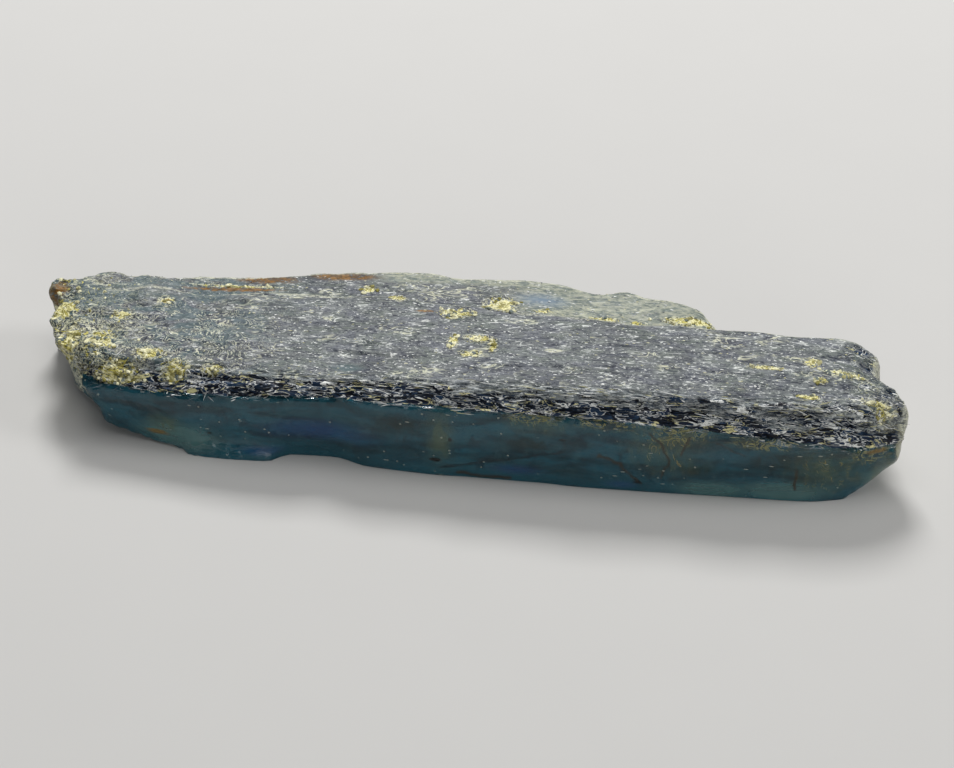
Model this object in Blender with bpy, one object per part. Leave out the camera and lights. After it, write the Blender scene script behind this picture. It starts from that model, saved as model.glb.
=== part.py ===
"""A bladed kyanite crystal lying on its flat cleavage face, for Blender 4.5.

The crystal grew as one piece, so it is one solid. X runs along the blade from the broken end to the worn
tip, Y from the clear front face to the rear, and Z up from the face that it lies on.
"""

import bisect

import bmesh
import bpy
from mathutils import Vector, noise

MM = 0.001
NAME = "kyanite_crystal"

# How finely the starting cube is cut: along the blade, more closely at its ends, and up its sides.
STATIONS = 96
COURSES = (0.0, 0.06, 0.13, 0.3, 0.47, 0.63, 0.78, 0.9, 1.0)
END_CROWDING = 0.28

# Outlines in millimetres, read along the blade at x. Each is a smooth line through its points.
FRONT_FOOT = (
    (-25.5, 1.6), (-22.3, 0.95), (-19.7, 0.5), (-18.2, 0.15), (-15.5, 0.0), (-13.1, 0.1), (-11.1, 0.5),
    (-8.7, 0.6), (-6.5, 0.0), (0, -0.25), (9, -0.1), (15.8, 0.15), (19.7, 0.3), (22, 0.8), (23.5, 1.6),
    (25, 2.9),
)
REAR_RIM = (
    (-27.5, 10.4), (-24.9, 11.3), (-18.8, 11.7), (-12.6, 12.35), (-6.5, 12.9), (-1.6, 12.5), (3.3, 12.75),
    (5.2, 12.4), (6.1, 12.2), (8, 12.5), (8.9, 12.0), (10.7, 11.85), (11.9, 11.5), (12.9, 10.8),
    (13.4, 10.0), (14.2, 9.2), (17.8, 8.95), (21.1, 9.0), (23, 8.7), (24.5, 8.0),
)
LEDGE_LINE = (
    (-27.5, 8.6), (-22.3, 9.2), (-16.1, 9.4), (-8, 9.6), (-1, 9.0), (5, 8.4), (11.9, 8.25), (15.8, 8.3),
    (20.7, 8.3), (24.5, 7.4),
)
LEDGE_DROP = (
    (-27.5, 0.2), (-18, 0.4), (-11, 0.25), (-4, 0.15), (2, 0.35), (6, 0.7), (12.4, 0.75), (14, 1.1),
    (25, 1.1),
)
TOP_HEIGHT = (
    (-27.5, 5.05), (-20, 5.0), (-14, 5.15), (-5, 5.6), (2, 6.0), (8, 6.25), (20, 6.4), (25, 6.1),
)
CLEAR_FACE_HEIGHT = (
    (-27.5, 4.0), (-20, 4.15), (-14, 4.45), (-5, 5.0), (7, 5.15), (14, 4.95), (19, 4.6), (23, 4.25),
    (26, 3.8),
)
TORN_WIDTH = ((-27.5, 1.4), (-14, 1.5), (-5, 1.25), (7, 1.0), (19, 1.1), (23, 1.5), (26, 1.7))

# Where the blade stops, by the share of the way from its front face to its rear.
BROKEN_END = (
    (0.0, -24.4), (0.08, -25.05), (0.18, -26.1), (0.3, -26.95), (0.44, -27.25), (0.55, -27.15),
    (0.62, -26.95), (0.7, -27.75), (0.8, -28.45), (0.92, -28.55), (1.0, -28.0),
)
WORN_TIP = (
    (0.0, 25.1), (0.1, 25.5), (0.2, 25.25), (0.32, 24.75), (0.42, 23.95), (0.5, 23.5), (0.58, 23.55),
    (0.72, 23.75), (0.84, 23.75), (0.93, 23.6), (1.0, 23.3),
)

# The torn front edge, as treads and risers: the share of its width and the share of its height.
TORN_STEPS = ((0.0, 0.0), (0.3, 0.1), (0.4, 0.45), (0.68, 0.53), (0.76, 0.88), (1.0, 0.97))
TORN_WANDER = {"reach": 0.3, "run": 2.6, "fine_run": 1.2, "lift": 0.3, "lift_run": 3.5}
TORN_EASE = 0.35

# The upper face and the lower layer behind it, and how far their edges wander.
UPPER_LINES = 13
LEDGE_WANDER = {"reach": 0.35, "run": 4.0}
RISER_WIDTH = 0.14
REAR_LINES = 3
REAR_FALL = 0.06
REAR_ROUNDING = 0.35
REAR_WANDER = {"reach": 0.2, "run": 1.8}

# The sides, in millimetres: the triclinic lean, the foot's lip and scar, and the rear's laths.
FRONT_LEAN = 0.35
REAR_LEAN = 0.9
FRONT_STRAIGHTENING = 0.45
FRONT_SWELL = {"depth": 0.12, "low": 2.0, "high": 4.5}
FOOT_LIP = {"start": -17.95, "end": -11.75, "edge": 0.4, "reach": 0.45, "height": 1.3}
FOOT_SCAR = {"start": -2.6, "end": 6.2, "edge": 2.2, "depth": 0.12, "height": 1.3}
CHIPPED_CORNER = {"start": -18.0, "end": -24.5, "lift": 0.75}
LATHS = {"relief": 0.55, "run": 7.0, "spacing": 1.1}

# How far the blade rolls down to its ends, and how deep the relief is on each side.
TIP_ROLL = {"reach": 2.2, "drop": 0.7, "nose": 5.0, "nose_course": 0.75, "rear_share": 0.6}
END_ROLL = {"reach": 1.8, "drop": 0.5, "slant": 1.35, "breaks": 0.3}
RELIEF = {"upper": 0.07, "torn": 0.14, "front": 0.05, "rear": 0.16, "ends": 0.2}
STRIATION = {"depth": 0.12, "spacing": 0.8, "run": 12.0}

# Where the ends' rougher relief starts, and over what length, and how the relief fades down to the foot.
BROKEN_FROM = -20.5
BROKEN_FADE = 4.0
WORN_FROM = 22.0
WORN_FADE = 3.0
WORN_RELIEF = 0.45
FLAT_BELOW = 0.02
FOOT_FADE = 2.0
CRUST_FOOT = 0.5
SWELLS = {"run": 3.2, "spacing": 2.2}
LUMPS = {"size": 2.3, "height": 0.5}

PITS = (
    # x, y, radius, depth: hollows where grains of the host rock have fallen out
    (-26.9, 8.6, 1.0, 0.4),
    (-0.5, 5.3, 1.7, 0.22),
    (-8.0, 3.2, 1.9, 0.14),
)


def ease(share):
    """0 below 0, 1 above 1, and a smooth rise between."""
    share = min(1.0, max(0.0, share))
    return share * share * (3 - 2 * share)


def slope(points, index):
    """The slope of the smooth line at one of its points: level at the ends and wherever it turns."""
    if index in (0, len(points) - 1):
        return 0.0
    (x0, y0), (x1, y1), (x2, y2) = points[index - 1:index + 2]
    before, after = (y1 - y0) / (x1 - x0), (y2 - y1) / (x2 - x1)
    if before * after <= 0:
        return 0.0
    return 2 * before * after / (before + after)


def along(points, at):
    """The value at this place of a smooth line through points, with no overshoot between them."""
    places = [point[0] for point in points]
    if at <= places[0]:
        return points[0][1]
    if at >= places[-1]:
        return points[-1][1]
    after = bisect.bisect_right(places, at)
    (start, low), (end, high) = points[after - 1], points[after]
    width = end - start
    share = (at - start) / width
    leaving, arriving = slope(points, after - 1) * width, slope(points, after) * width
    rise = ease(share)
    return low + (high - low) * rise + share * (1 - share) * (leaving * (1 - share) - arriving * share)


def grain(x, y, z, run, spacing):
    """Noise drawn out along the blade, from about -1 to 1."""
    return noise.noise(Vector((x / run, y / spacing, z / spacing)))


def lump(x, y, z):
    """A crust of rounded lumps with creases between them, from 0 in a crease to 1 on a lump."""
    place = Vector((x, y, z)) / LUMPS["size"]
    distances, _ = noise.voronoi(place)
    return ease(1.5 * (distances[1] - distances[0]))


def bump(x, start, end, edge):
    """1 between start and end, and 0 outside, with soft sides of this width."""
    return ease((x - start) / edge) * ease((end - x) / edge)


def front_top(x):
    """Where the clear front face ends at the torn edge: y and z."""
    return along(FRONT_FOOT, x) * FRONT_STRAIGHTENING + FRONT_LEAN, along(CLEAR_FACE_HEIGHT, x)


def torn_edge(x):
    """The splintered plates between the clear face and the upper face, from front to rear."""
    y, z = front_top(x)
    width = along(TORN_WIDTH, x)
    height = along(TOP_HEIGHT, x) - z
    wander = TORN_WANDER
    line = [(y, z)]
    for step, (out, up) in enumerate(TORN_STEPS[1:]):
        plate = 1 + step // 2
        tears = grain(x, plate * 7.3, 0, wander["run"], 1)
        tears += 0.6 * grain(x, plate * 3.1, 5, wander["fine_run"], 1)
        lift = wander["lift"] * grain(x, plate * 5.7, 9, wander["lift_run"], 1) * (1 - up)
        line.append((y + width * out + wander["reach"] * tears, z + height * (up + lift)))
    return line


def upper_face(x):
    """The striated upper face, from the torn edge to the rear ledge."""
    start = torn_edge(x)[-1][0] + TORN_EASE
    end = along(LEDGE_LINE, x) + LEDGE_WANDER["reach"] * grain(x, 31, 0, LEDGE_WANDER["run"], 1)
    top = along(TOP_HEIGHT, x)
    line = []
    for i in range(UPPER_LINES):
        y = start + (end - start) * i / (UPPER_LINES - 1)
        striation = STRIATION["depth"] * grain(x, y, 0, STRIATION["run"], STRIATION["spacing"])
        line.append((y, top + striation * bump(y, start - 0.5, end + 0.3, 0.8)))
    return line


def rear_ledge(x):
    """The lower layer behind the upper face, from its inner corner to the rim."""
    y, z = upper_face(x)[-1]
    rim = along(REAR_RIM, x) + REAR_WANDER["reach"] * grain(x, 57, 0, REAR_WANDER["run"], 1)
    floor = z - along(LEDGE_DROP, x)
    rim = max(rim, y + RISER_WIDTH + REAR_ROUNDING)
    start = y + RISER_WIDTH
    line = []
    for i in range(REAR_LINES + 1):
        share = i / REAR_LINES
        striation = 0.6 * STRIATION["depth"] * grain(x, y + 3 * share, 9, STRIATION["run"], 0.6)
        line.append((start + (rim - REAR_ROUNDING - start) * share, floor - REAR_FALL * share + striation))
    line.append((rim, floor - REAR_FALL - REAR_ROUNDING))
    return line


def top_line(x):
    """The section's upper line at x, front to rear. Every station has the same number of points."""
    return torn_edge(x) + upper_face(x) + rear_ledge(x)


LINES = len(top_line(0.0))


def foot_height(x, share):
    """The underside is flat but for the chipped front corner at the broken end."""
    corner = CHIPPED_CORNER
    along_corner = (x - corner["start"]) / (corner["end"] - corner["start"])
    return corner["lift"] * ease(along_corner) * ease(1 - share)


def front_relief(x, height):
    """How far the front face stands out or in at a height: its lip, its scar and its slow swell."""
    lip = FOOT_LIP
    out = -lip["reach"] * bump(x, lip["start"], lip["end"], lip["edge"]) * ease(1 - height / lip["height"])
    scar = FOOT_SCAR
    hollow = scar["depth"] * bump(x, scar["start"], scar["end"], scar["edge"])
    hollow *= ease((scar["height"] - height) / scar["depth"])
    swell = FRONT_SWELL
    bulge = -swell["depth"] * ease(height / swell["low"]) * ease((swell["high"] - height) / swell["low"])
    return out + hollow + bulge


def section_point(x, line, course):
    """A point of the section at x: line counts from the front and course rises from the foot."""
    top = top_line(x)
    y_top, z_top = top[line]
    front, rear = top[0][0], top[-1][0]
    share = (y_top - front) / (rear - front)
    foot_front = along(FRONT_FOOT, x)
    foot_rear = rear - REAR_LEAN
    y_foot = foot_front + (foot_rear - foot_front) * share
    z_foot = foot_height(x, share)
    y = y_foot + (y_top - y_foot) * course
    z = z_foot + (z_top - z_foot) * course
    if line == 0:
        y += front_relief(x, z)
    if line == LINES - 1:
        lath = grain(x, 3, z, LATHS["run"], LATHS["spacing"])
        y += LATHS["relief"] * lath * ease(4 * course) * ease(4 * (1 - course))
    return y, z, share


def end_places(line, course):
    """Where this line of the blade starts and stops, with the broken end's laths and the tip's nose."""
    _, _, share = section_point(0.0, line, course)
    start = along(BROKEN_END, share) + END_ROLL["slant"] * (1 - course) * ease(1 - share * 0.7)
    start += END_ROLL["breaks"] * grain(6 * share, 5 * course, 0, 1, 1)
    nose = TIP_ROLL["nose"] * (course - TIP_ROLL["nose_course"]) ** 2
    end = along(WORN_TIP, share) - nose * (1 - 0.4 * share)
    return start, end


def blade_point(u, line, course):
    """The place on the crystal of a point of the cut cube: u runs from 0 to 1 along the blade."""
    start, end = end_places(line, course)
    x = start + (end - start) * (u + END_CROWDING * (ease(u) - u))
    y, z, share = section_point(x, line, course)
    tip, broken = end - x, x - start
    worn = 1 - (1 - TIP_ROLL["rear_share"]) * ease((share - 0.35) / 0.25)
    roll = TIP_ROLL["drop"] * worn * ease(1 - tip / TIP_ROLL["reach"]) ** 2
    roll += END_ROLL["drop"] * (1 - 0.7 * share) * ease(1 - broken / END_ROLL["reach"]) ** 2
    return Vector((x, y, z - roll * course**2))


def cut_cube():
    """A cube cut by planes into stations along X, grain lines across Y and courses up Z."""
    mesh = bmesh.new()
    bmesh.ops.create_cube(mesh, size=1.0)
    cuts = [((i / STATIONS) - 0.5, (1, 0, 0)) for i in range(1, STATIONS)]
    cuts += [((i / (LINES - 1)) - 0.5, (0, 1, 0)) for i in range(1, LINES - 1)]
    cuts += [(course - 0.5, (0, 0, 1)) for course in COURSES[1:-1]]
    for place, normal in cuts:
        geometry = mesh.verts[:] + mesh.edges[:] + mesh.faces[:]
        plane = Vector(normal) * place
        bmesh.ops.bisect_plane(mesh, geom=geometry, dist=1e-6, plane_co=plane, plane_no=normal)
    return mesh


def pit_depth(x, y):
    """How far the pits sink the upper face here."""
    depth = 0.0
    for pit_x, pit_y, radius, deepest in PITS:
        away = (Vector((x, y)) - Vector((pit_x, pit_y))).length / radius
        depth += deepest * ease(1.4 * (1 - away))
    return depth


def relief_depth(normal, ends):
    """How deep the fine relief is on this side of the crystal, which is plain where it lies."""
    if normal.z < -0.5:
        return 0.0
    depth = RELIEF["upper"]
    if normal.y < -0.55:
        depth = RELIEF["front"]
    elif normal.y < -0.2:
        depth = RELIEF["torn"]
    elif normal.y > 0.5:
        depth = RELIEF["rear"]
    return depth + (RELIEF["ends"] - depth) * ends


def weather(mesh):
    """Pushes the surface in and out along its normals: lumps at the ends, torn grain and pits."""
    mesh.normal_update()
    moves = {}
    for vertex in mesh.verts:
        x, y, z = vertex.co
        if z < FLAT_BELOW:
            continue
        broken = ease((BROKEN_FROM - x) / BROKEN_FADE)
        worn = WORN_RELIEF * ease((x - WORN_FROM) / WORN_FADE)
        depth = relief_depth(vertex.normal, max(broken, worn))
        swells = grain(x, y, z, SWELLS["run"], SWELLS["spacing"])
        laths = grain(x, y + 40, z, LATHS["run"], LATHS["spacing"])
        crust = LUMPS["height"] * broken * (lump(x, y, z) - 0.5)
        move = vertex.normal * (depth * (swells + 0.8 * laths) + crust)
        if vertex.normal.z > 0.3:
            move.z -= pit_depth(x, y)
        moves[vertex] = move * ease(z / FOOT_FADE)
    for vertex, move in moves.items():
        vertex.co += move
    crust = [vertex for vertex in moves if vertex.co.x < BROKEN_FROM and vertex.co.z > CRUST_FOOT]
    bmesh.ops.smooth_vert(mesh, verts=crust, factor=0.5, use_axis_x=True, use_axis_y=True, use_axis_z=True)


def crystal_mesh():
    """The finished blade as a mesh in metres, centred over its foot."""
    mesh = cut_cube()
    nearest = {round(course, 4): course for course in COURSES}
    for vertex in mesh.verts:
        u = vertex.co.x + 0.5
        line = round((vertex.co.y + 0.5) * (LINES - 1))
        course = nearest[round(vertex.co.z + 0.5, 4)]
        vertex.co = blade_point(u, line, course)
    weather(mesh)
    places = [vertex.co for vertex in mesh.verts]
    middle = [(min(p[axis] for p in places) + max(p[axis] for p in places)) / 2 for axis in (0, 1)]
    lowest = min(p.z for p in places)
    bmesh.ops.translate(mesh, vec=(-middle[0], -middle[1], -lowest), verts=mesh.verts[:])
    bmesh.ops.scale(mesh, vec=(MM, MM, MM), verts=mesh.verts[:])
    bmesh.ops.recalc_face_normals(mesh, faces=mesh.faces[:])
    data = bpy.data.meshes.new(NAME)
    mesh.to_mesh(data)
    mesh.free()
    return data


def kyanite_material():
    """Slate blue crystal, silvery where its cleavage has opened."""
    material = bpy.data.materials.new("kyanite")
    material.use_nodes = True
    shader = material.node_tree.nodes["Principled BSDF"]
    shader.inputs["Base Color"].default_value = (0.09, 0.13, 0.16, 1)
    shader.inputs["Roughness"].default_value = 0.35
    shader.inputs["IOR"].default_value = 1.72
    return material


def main():
    for obj in list(bpy.data.objects):
        bpy.data.objects.remove(obj)
    collection = bpy.data.collections.new("kyanite")
    bpy.context.scene.collection.children.link(collection)
    crystal = bpy.data.objects.new(NAME, crystal_mesh())
    crystal.data.materials.append(kyanite_material())
    collection.objects.link(crystal)


main()
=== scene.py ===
"""Dresses a bladed kyanite crystal and lights it in a plain studio.

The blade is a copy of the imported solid, divided finely across its grain and carved into plates, striations
and tears. Its clear front face is see-through and takes its blue with depth. Its opened cleavage is a silvery
skin, stained by iron. Loose splinters, flakes and grains of crust are separate pieces that lie on the blade.
X runs along the blade, Y from its clear face to the rear, and Z up.
"""

import math
import random

import bpy
import numpy as np
from mathutils import Matrix, Vector, noise


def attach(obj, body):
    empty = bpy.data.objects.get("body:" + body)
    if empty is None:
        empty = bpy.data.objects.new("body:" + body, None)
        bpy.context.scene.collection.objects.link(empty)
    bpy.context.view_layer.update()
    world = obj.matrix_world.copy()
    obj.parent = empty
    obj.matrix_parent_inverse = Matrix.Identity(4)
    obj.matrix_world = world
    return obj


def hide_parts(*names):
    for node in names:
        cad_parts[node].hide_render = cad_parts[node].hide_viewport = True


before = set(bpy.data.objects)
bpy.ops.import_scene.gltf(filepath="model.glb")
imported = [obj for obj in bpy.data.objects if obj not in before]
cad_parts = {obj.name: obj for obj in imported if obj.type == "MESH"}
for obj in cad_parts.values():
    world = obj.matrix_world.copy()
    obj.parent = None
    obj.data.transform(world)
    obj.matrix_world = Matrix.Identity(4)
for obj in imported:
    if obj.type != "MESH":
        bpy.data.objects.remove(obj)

bl_info = {
    "name": "Kyanite Crystal",
    "version": (1, 0, 0),
    "blender": (4, 5, 0),
    "location": "3D View > Sidebar > Kyanite",
    "description": "Dresses a bladed kyanite crystal and lights it in a plain studio",
    "category": "Object",
}

MM = 0.001
NODE = "kyanite_crystal"
BODY = "root"

# Outlines in millimetres, read along the blade at x: the top of the clear face, where the upper face starts,
# and the step down to the rear ledge.
CLEAR_TOP = (
    (-26, 3.9), (-19, 4.1), (-13, 4.4), (-4, 4.95), (8, 5.1), (15, 4.9), (20, 4.5), (24, 4.1), (27, 3.6),
)
TORN_BACK = ((-26, -3.2), (-20, -4.2), (-10, -4.7), (10, -4.9), (22, -4.6), (27, -3.4))
LEDGE_LINE = (
    (-26, 2.6), (-21, 3.15), (-15, 3.35), (-7, 3.5), (0, 2.9), (6, 2.35), (13, 2.2), (17, 2.2), (26, 1.3),
)
# The masks that guide the carving.
CARVED = ("upper", "tangled", "torn", "broken", "worn")


def along(points, at):
    """The value at this place of the line through points, level past its ends."""
    if at <= points[0][0]:
        return points[0][1]
    for (x0, y0), (x1, y1) in zip(points, points[1:]):
        if at <= x1:
            return y0 + (y1 - y0) * (at - x0) / (x1 - x0)
    return points[-1][1]


def ease(share):
    """0 below 0, 1 above 1, and a smooth rise between."""
    share = min(1.0, max(0.0, share))
    return share * share * (3 - 2 * share)


class KyaniteRelief(bpy.types.PropertyGroup):
    """How deep the blade's surface is carved."""

    plates: bpy.props.FloatProperty(
        name="Plates", description="Height of the thin plates on the upper face", default=0.07 * MM,
        unit="LENGTH", precision=5,
    )
    striation: bpy.props.FloatProperty(
        name="Striation", description="Depth of the fine lengthwise grooves", default=0.03 * MM,
        unit="LENGTH", precision=5,
    )
    tears: bpy.props.FloatProperty(
        name="Tears", description="Depth of the tears along the front edge", default=0.3 * MM,
        unit="LENGTH", precision=5,
    )
    crust: bpy.props.FloatProperty(
        name="Crust", description="Height of the lumps on the broken end", default=0.26 * MM,
        unit="LENGTH", precision=5,
    )


class KyaniteScatter(bpy.types.PropertyGroup):
    """How many loose pieces lie on the blade."""

    splinters: bpy.props.IntProperty(
        name="Splinters", description="Slivers along the torn edge", default=1300, min=1,
    )
    flakes: bpy.props.IntProperty(
        name="Flakes", description="Thin flakes on the upper face", default=3000, min=1,
    )
    grains: bpy.props.IntProperty(
        name="Grains", description="Grains of iron-stained crust", default=1500, min=1,
    )


class KyaniteColours(bpy.types.PropertyGroup):
    """The colours of the crystal, its silvery skin and its stains."""

    depth_tint: bpy.props.FloatVectorProperty(
        name="Depth tint", description="Colour that the clear crystal takes with depth", subtype="COLOR",
        default=(0.16, 0.42, 0.56),
    )
    depth_density: bpy.props.FloatProperty(
        name="Depth density", description="How fast the colour deepens, per metre", default=260.0,
    )
    silver: bpy.props.FloatVectorProperty(
        name="Silver", description="Opened cleavage, between its flecks", subtype="COLOR",
        default=(0.136, 0.150, 0.152),
    )
    # Partly pale plate edges, partly painted glints that stand in for the cleavage's sheen.
    fleck_and_glint: bpy.props.FloatVectorProperty(
        name="Fleck", description="Bright edges of the thin plates", subtype="COLOR",
        default=(0.78, 0.80, 0.76),
    )
    groove: bpy.props.FloatVectorProperty(
        name="Groove", description="Dark blue of the gaps between plates", subtype="COLOR",
        default=(0.008, 0.013, 0.03),
    )
    stain: bpy.props.FloatVectorProperty(
        name="Stain", description="Yellow iron crust", subtype="COLOR", default=(0.56, 0.50, 0.12),
    )
    rust: bpy.props.FloatVectorProperty(
        name="Rust", description="Orange-brown iron stain", subtype="COLOR", default=(0.27, 0.13, 0.02),
    )
    veil: bpy.props.FloatVectorProperty(
        name="Veil", description="Milky blue-green body of the crystal", subtype="COLOR",
        default=(0.010, 0.092, 0.132),
    )


class KyaniteStage(bpy.types.PropertyGroup):
    """The camera and the studio."""

    azimuth: bpy.props.FloatProperty(
        name="Azimuth", description="Direction of the camera around the blade", default=math.radians(7.5),
        subtype="ANGLE",
    )
    elevation: bpy.props.FloatProperty(
        name="Elevation", description="Height of the camera over the floor", default=math.radians(40),
        subtype="ANGLE",
    )
    distance: bpy.props.FloatProperty(
        name="Distance", description="From the camera to the blade", default=0.1622, unit="LENGTH",
        precision=4,
    )
    target: bpy.props.FloatVectorProperty(
        name="Target", description="The point that the camera looks at", default=(0.00085, -0.0008, 0.00265),
        subtype="TRANSLATION",
    )
    floor_colour: bpy.props.FloatVectorProperty(
        name="Floor", description="Pale floor", subtype="COLOR", default=(0.62, 0.61, 0.59),
    )


def only(*pieces):
    """Selects these pieces and nothing else, and makes the first one active."""
    if bpy.context.mode != "OBJECT":
        bpy.ops.object.mode_set(mode="OBJECT")
    bpy.ops.object.select_all(action="DESELECT")
    for piece in pieces:
        piece.select_set(True)
    bpy.context.view_layer.objects.active = pieces[0]


def select_edges(piece, wanted):
    """Selects the edges that wanted says yes to, and leaves the piece in edit mode."""
    only(piece)
    bpy.ops.object.mode_set(mode="EDIT")
    bpy.ops.mesh.select_mode(type="EDGE")
    bpy.ops.mesh.select_all(action="DESELECT")
    bpy.ops.object.mode_set(mode="OBJECT")
    vertices = piece.data.vertices
    for edge in piece.data.edges:
        first, last = (vertices[i] for i in edge.vertices)
        edge.select = wanted(first, last)
    bpy.ops.object.mode_set(mode="EDIT")


def dress(piece, material):
    """Gives a finished piece its material and ties it to the crystal."""
    piece.data.materials.clear()
    piece.data.materials.append(material)
    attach(piece, BODY)


def copy_of_solid(name):
    """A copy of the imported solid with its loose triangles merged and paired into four-sided faces."""
    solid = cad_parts[NODE]
    piece = solid.copy()
    piece.data = solid.data.copy()
    piece.name = name
    piece.data.name = name
    bpy.context.scene.collection.objects.link(piece)
    only(piece)
    piece.parent = None
    bpy.ops.object.transform_apply()
    bpy.ops.object.mode_set(mode="EDIT")
    bpy.ops.mesh.select_all(action="SELECT")
    bpy.ops.mesh.remove_doubles(threshold=0.0001 * MM)
    bpy.ops.mesh.tris_convert_to_quads(face_threshold=1.2, shape_threshold=1.2)
    bpy.ops.object.mode_set(mode="OBJECT")
    return piece


def smooth_cage(piece):
    """Rounds the solid's facets off, but for the edge of its flat underside."""
    select_edges(piece, lambda first, last: max(first.co.z, last.co.z) < 0.02 * MM)
    bpy.ops.transform.edge_crease(value=1)
    rounding = piece.modifiers.new("Rounding", "SUBSURF")
    rounding.levels = rounding.render_levels = 1
    only(piece)
    bpy.ops.object.modifier_apply(modifier=rounding.name)


def is_detailed(vertex):
    """True on the upper face, the ledge and the torn edge, which carry the finest relief."""
    x, y, z = vertex.co / MM
    return vertex.normal.z > 0.25 or (z > along(CLEAR_TOP, x) - 0.3 and y < along(TORN_BACK, x))


def divide(piece):
    """Cuts the detailed faces finely: across the grain, where relief is narrow, and once along it."""

    def crosses_grain(first, last):
        step = last.co - first.co
        across = math.hypot(step.y, step.z)
        return across > abs(step.x) and is_detailed(first) and is_detailed(last)

    def follows_grain(first, last):
        step = last.co - first.co
        return abs(step.x) > math.hypot(step.y, step.z) and is_detailed(first) and is_detailed(last)

    select_edges(piece, crosses_grain)
    bpy.ops.mesh.subdivide(number_cuts=3)
    select_edges(piece, follows_grain)
    bpy.ops.mesh.subdivide(number_cuts=1)
    bpy.ops.object.mode_set(mode="OBJECT")


def masks_at(x, y, z, normal):
    """How far each kind of surface holds at a place in millimetres, each from 0 to 1."""
    over_face = z - along(CLEAR_TOP, x)
    before_top = along(TORN_BACK, x) - y
    under = ease((-0.4 - normal.z) / 0.3)
    broken = ease((-18.6 - x + 0.8 * noise.noise(Vector((x, y, z)) * 0.6)) / 5) * ease((z - 1.6) / 1.2)
    broken *= 0.35 + 0.65 * max(ease((1.0 - y) / 3), ease((-24.5 - x) / 1.5))
    worn = ease((x - 21.5) / 4) * ease((z - 2.0) / 1.2)
    tangled = ease((-9 - x) / 7)
    fanned = tangled * (0.25 + 0.75 * ease((2.6 - y) / 2.4))
    chipped = ease((x - 5) / 8) * ease((before_top + 0.5) / 0.6) * ease((over_face + 0.3) / 0.3) * (1 - under)
    front = ease((-2.2 - y) / 0.8) * ease((0.1 - over_face) / 0.3)
    torn = ease((over_face + 0.35) / 0.3) * ease((before_top + 0.7) / 0.9) * (1 - under)
    gap = ease((over_face + 0.3) / 0.3) * ease((0.95 - over_face) / 0.5) * ease((before_top + 0.3) / 0.5)
    upper = ease((normal.z - 0.45) / 0.3) * ease((-before_top + 0.1) / 0.6)
    behind = ease((y - along(LEDGE_LINE, x)) / 0.3)
    edge = ease((y - 5.0) / 0.5) * ease((x + 7.0) / 2)
    ledge = max(behind * ease((x - 0.5) / 4), edge) * ease((normal.z - 0.3) / 0.3)
    # Painted rim highlight: faces turned to the sides or towards the rear, which the materials lighten along
    # the outline.
    turned = ease((normal.y - 0.25) / 0.2) * ease((0.85 - normal.y) / 0.2)
    worn_away = 0.6 * ease((x - 20) / 3)
    rim = max(ease((abs(normal.x) - 0.45) / 0.3), turned) * ease((z - 1.0 + worn_away) / 1.5)
    crusted = ease((-22.6 - x + noise.noise(Vector((x, y, z)) * 1.1)) / 1.2) * ease((z - 0.9) / 0.6)
    return {
        "front": front * (1 - crusted), "torn": torn, "gap": gap * (1 - under), "upper": upper,
        "ledge": ledge, "rim": rim, "under": under, "broken": broken, "worn": worn, "tangled": tangled,
        "fanned": fanned, "chipped": chipped,
    }


def paint(piece, name, values):
    """Stores one value for each point of the piece, for its material to read."""
    attribute = piece.data.attributes.new(name + "_mask", "FLOAT", "POINT")
    attribute.data.foreach_set("value", values)


def paint_masks(piece):
    """Stores each mask on the piece for its material, and as a vertex group where it guides the carving."""
    found = [masks_at(*(vertex.co / MM), vertex.normal) for vertex in piece.data.vertices]
    for name in found[0]:
        values = [masks[name] for masks in found]
        paint(piece, name, values)
        if name in CARVED:
            group = piece.vertex_groups.new(name=name)
            for index, value in enumerate(values):
                if value > 0:
                    group.add([index], value, "REPLACE")


def carve(piece, name, cell, depth, group, settings, steps=0, turn=0.0):
    """Pushes the surface in and out by clouds whose cells have this size in millimetres.

    With steps, the clouds become flat plates at that many heights.
    """
    texture = bpy.data.textures.new(name, "CLOUDS")
    for setting, value in settings.items():
        setattr(texture, setting, value)
    if steps:
        texture.use_color_ramp = True
        ramp = texture.color_ramp
        ramp.interpolation = "CONSTANT"
        ramp.elements.remove(ramp.elements[1])
        ramp.elements[0].color = (0, 0, 0, 1)
        for step in range(1, steps):
            shade = step / (steps - 1)
            ramp.elements.new(0.3 + 0.4 * step / steps).color = (shade, shade, shade, 1)
    guide = bpy.data.objects.new(name, None)
    guide.scale = Vector(cell) * MM
    guide.rotation_euler.z = turn
    bpy.context.scene.collection.objects.link(guide)
    bpy.context.view_layer.update()
    push = piece.modifiers.new(name, "DISPLACE")
    push.texture = texture
    push.texture_coords = "OBJECT"
    push.texture_coords_object = guide
    push.vertex_group = group
    push.strength = depth
    push.mid_level = 0.5
    only(piece)
    bpy.ops.object.modifier_apply(modifier=push.name)
    bpy.data.objects.remove(guide)


def places_of(piece):
    """The places of a piece's points, and their normals, as two arrays."""
    count = len(piece.data.vertices)
    places, normals = np.empty(count * 3), np.empty(count * 3)
    piece.data.vertices.foreach_get("co", places)
    piece.data.vertices.foreach_get("normal", normals)
    return places.reshape(-1, 3), normals.reshape(-1, 3)


def paint_relief(piece, before, normals, rounds=7, full=0.035 * MM):
    """Stores how far each point stands over its surroundings since before: from -1, a gap, to 1, a lip. The
    skin's material paints shade into the gaps and highlights onto the lips from it.
    """
    places, _ = places_of(piece)
    height = ((places - before) * normals).sum(axis=1)
    edges = np.empty(len(piece.data.edges) * 2, dtype=np.int32)
    piece.data.edges.foreach_get("vertices", edges)
    first, last = edges.reshape(-1, 2).T
    neighbours = np.bincount(first, minlength=len(height)) + np.bincount(last, minlength=len(height))
    level = height.copy()
    for _ in range(rounds):
        total = np.bincount(first, level[last], len(height)) + np.bincount(last, level[first], len(height))
        level = 0.5 * level + 0.5 * total / neighbours
    paint(piece, "relief", np.clip((height - level) / full, -1, 1).tolist())


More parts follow.
